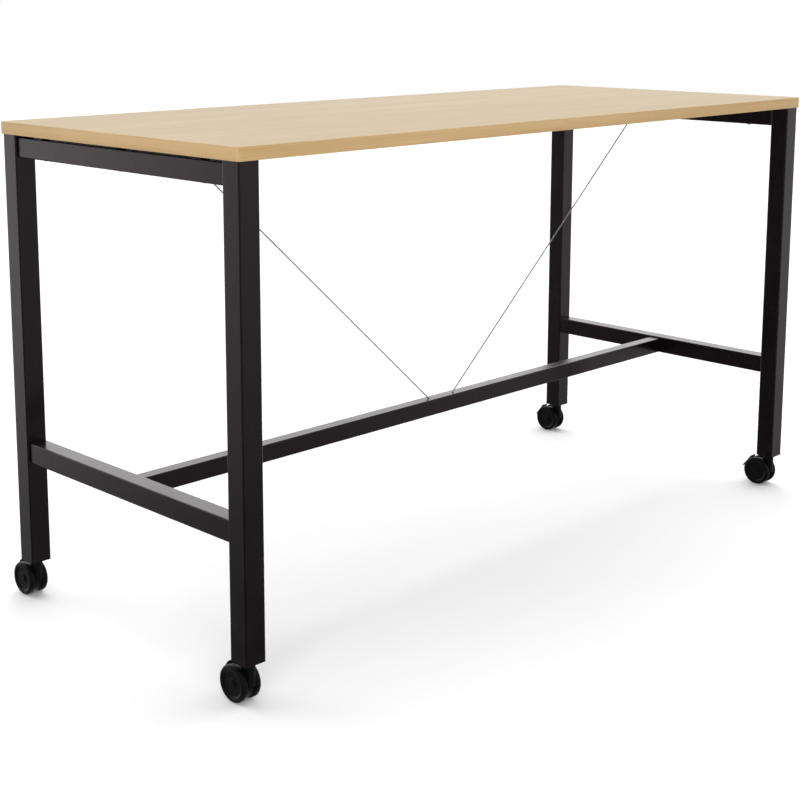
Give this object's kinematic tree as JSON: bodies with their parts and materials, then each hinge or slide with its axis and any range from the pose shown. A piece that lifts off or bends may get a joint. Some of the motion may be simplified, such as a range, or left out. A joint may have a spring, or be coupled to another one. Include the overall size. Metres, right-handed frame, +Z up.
{
  "type": "high table on casters",
  "caption": "Standing-height work table: wood-grain board on two dark square-tube end frames, tied by a low stretcher and a V of brace wires, on braked twin-wheel casters.",
  "frame": {"origin": "on the floor, under the middle of the board and of the leg pattern", "axes": "+X along the table's length, +Y from front to rear, +Z up"},
  "size_m": [1.8, 0.7905, 1],
  "materials": {
    "face_laminate": "satin wood-grain laminate",
    "edge_laminate": "satin wood-grain edge band",
    "board_core": "raw chipboard",
    "backing_sheet": "dark matt balancing sheet",
    "frame_paint": "semi-gloss powder coat",
    "spacer_plastic": "moulded",
    "plug_plastic": "moulded",
    "insert_brass": "turned",
    "zinc_steel": "zinc plated",
    "wire_steel": "drawn steel wire",
    "caster_plastic": "moulded, fine texture",
    "wheel_plastic": "moulded",
    "pedal_plastic": "moulded",
    "black_steel": "blackened steel"
  },
  "bodies": {
    "table": {"top_laminate": "face_laminate", "edge_band": "edge_laminate", "top_core": "board_core", "underside_backer": "backing_sheet", "leg_front_left": "frame_paint", "leg_rear_left": "frame_paint", "leg_rear_right": "frame_paint", "leg_front_right": "frame_paint", "top_rail_left": "frame_paint", "top_rail_right": "frame_paint", "lower_rail_left": "frame_paint", "lower_rail_right": "frame_paint", "stretcher": "frame_paint", "stretcher_spigot_left": "frame_paint", "stretcher_spigot_right": "frame_paint", "leg_top_plates": "frame_paint", "top_spacers": "spacer_plastic", "leg_foot_plugs": "plug_plastic", "top_inserts": "insert_brass", "top_screws": "zinc_steel", "stretcher_screws": "zinc_steel", "bracket_screws": "zinc_steel", "brace_nuts": "zinc_steel", "brace_bracket_left": "zinc_steel", "brace_bracket_right": "zinc_steel", "caster_stems": "zinc_steel", "caster_washers": "zinc_steel", "brace_wire_left": "wire_steel", "brace_wire_right": "wire_steel"},
    "caster_front_left": {"caster_body_front_left": "caster_plastic", "caster_axle_front_left": "black_steel", "pedal_pin_front_left": "black_steel"},
    "outer_wheel_front_left": {"wheel_outer_front_left": "wheel_plastic"},
    "inner_wheel_front_left": {"wheel_inner_front_left": "wheel_plastic"},
    "pedal_front_left": {"brake_pedal_front_left": "pedal_plastic"},
    "caster_rear_left": {"caster_body_rear_left": "caster_plastic", "caster_axle_rear_left": "black_steel", "pedal_pin_rear_left": "black_steel"},
    "outer_wheel_rear_left": {"wheel_outer_rear_left": "wheel_plastic"},
    "inner_wheel_rear_left": {"wheel_inner_rear_left": "wheel_plastic"},
    "pedal_rear_left": {"brake_pedal_rear_left": "pedal_plastic"},
    "caster_rear_right": {"caster_body_rear_right": "caster_plastic", "caster_axle_rear_right": "black_steel", "pedal_pin_rear_right": "black_steel"},
    "outer_wheel_rear_right": {"wheel_outer_rear_right": "wheel_plastic"},
    "inner_wheel_rear_right": {"wheel_inner_rear_right": "wheel_plastic"},
    "pedal_rear_right": {"brake_pedal_rear_right": "pedal_plastic"},
    "caster_front_right": {"caster_body_front_right": "caster_plastic", "caster_axle_front_right": "black_steel", "pedal_pin_front_right": "black_steel"},
    "outer_wheel_front_right": {"wheel_outer_front_right": "wheel_plastic"},
    "inner_wheel_front_right": {"wheel_inner_front_right": "wheel_plastic"},
    "pedal_front_right": {"brake_pedal_front_right": "pedal_plastic"}
  },
  "joints": [
    {"name": "swivel_front_left", "type": "hinge", "parent": "table", "child": "caster_front_left", "pos_m": [-0.8725, -0.3475, 0.0785], "axis": [0, 0, 1], "continuous": true},
    {"name": "outer_wheel_spin_front_left", "type": "hinge", "parent": "caster_front_left", "child": "outer_wheel_front_left", "pos_m": [-0.8725, -0.3242, 0.035], "axis": [1, 0, 0], "continuous": true},
    {"name": "inner_wheel_spin_front_left", "type": "hinge", "parent": "caster_front_left", "child": "inner_wheel_front_left", "pos_m": [-0.8725, -0.3242, 0.035], "axis": [1, 0, 0], "continuous": true},
    {"name": "pedal_tilt_front_left", "type": "hinge", "parent": "caster_front_left", "child": "pedal_front_left", "pos_m": [-0.8725, -0.31144, 0.05766], "axis": [1, 0, 0], "range_deg": [0, 15]},
    {"name": "swivel_rear_left", "type": "hinge", "parent": "table", "child": "caster_rear_left", "pos_m": [-0.8725, 0.3475, 0.0785], "axis": [0, 0, 1], "continuous": true},
    {"name": "outer_wheel_spin_rear_left", "type": "hinge", "parent": "caster_rear_left", "child": "outer_wheel_rear_left", "pos_m": [-0.8725, 0.3708, 0.035], "axis": [1, 0, 0], "continuous": true},
    {"name": "inner_wheel_spin_rear_left", "type": "hinge", "parent": "caster_rear_left", "child": "inner_wheel_rear_left", "pos_m": [-0.8725, 0.3708, 0.035], "axis": [1, 0, 0], "continuous": true},
    {"name": "pedal_tilt_rear_left", "type": "hinge", "parent": "caster_rear_left", "child": "pedal_rear_left", "pos_m": [-0.8725, 0.38356, 0.05766], "axis": [1, 0, 0], "range_deg": [0, 15]},
    {"name": "swivel_rear_right", "type": "hinge", "parent": "table", "child": "caster_rear_right", "pos_m": [0.8725, 0.3475, 0.0785], "axis": [0, 0, 1], "continuous": true},
    {"name": "outer_wheel_spin_rear_right", "type": "hinge", "parent": "caster_rear_right", "child": "outer_wheel_rear_right", "pos_m": [0.8725, 0.3708, 0.035], "axis": [1, 0, 0], "continuous": true},
    {"name": "inner_wheel_spin_rear_right", "type": "hinge", "parent": "caster_rear_right", "child": "inner_wheel_rear_right", "pos_m": [0.8725, 0.3708, 0.035], "axis": [1, 0, 0], "continuous": true},
    {"name": "pedal_tilt_rear_right", "type": "hinge", "parent": "caster_rear_right", "child": "pedal_rear_right", "pos_m": [0.8725, 0.38356, 0.05766], "axis": [1, 0, 0], "range_deg": [0, 15]},
    {"name": "swivel_front_right", "type": "hinge", "parent": "table", "child": "caster_front_right", "pos_m": [0.8725, -0.3475, 0.0785], "axis": [0, 0, 1], "continuous": true},
    {"name": "outer_wheel_spin_front_right", "type": "hinge", "parent": "caster_front_right", "child": "outer_wheel_front_right", "pos_m": [0.8725, -0.3242, 0.035], "axis": [1, 0, 0], "continuous": true},
    {"name": "inner_wheel_spin_front_right", "type": "hinge", "parent": "caster_front_right", "child": "inner_wheel_front_right", "pos_m": [0.8725, -0.3242, 0.035], "axis": [1, 0, 0], "continuous": true},
    {"name": "pedal_tilt_front_right", "type": "hinge", "parent": "caster_front_right", "child": "pedal_front_right", "pos_m": [0.8725, -0.31144, 0.05766], "axis": [1, 0, 0], "range_deg": [0, 15]}
  ]
}
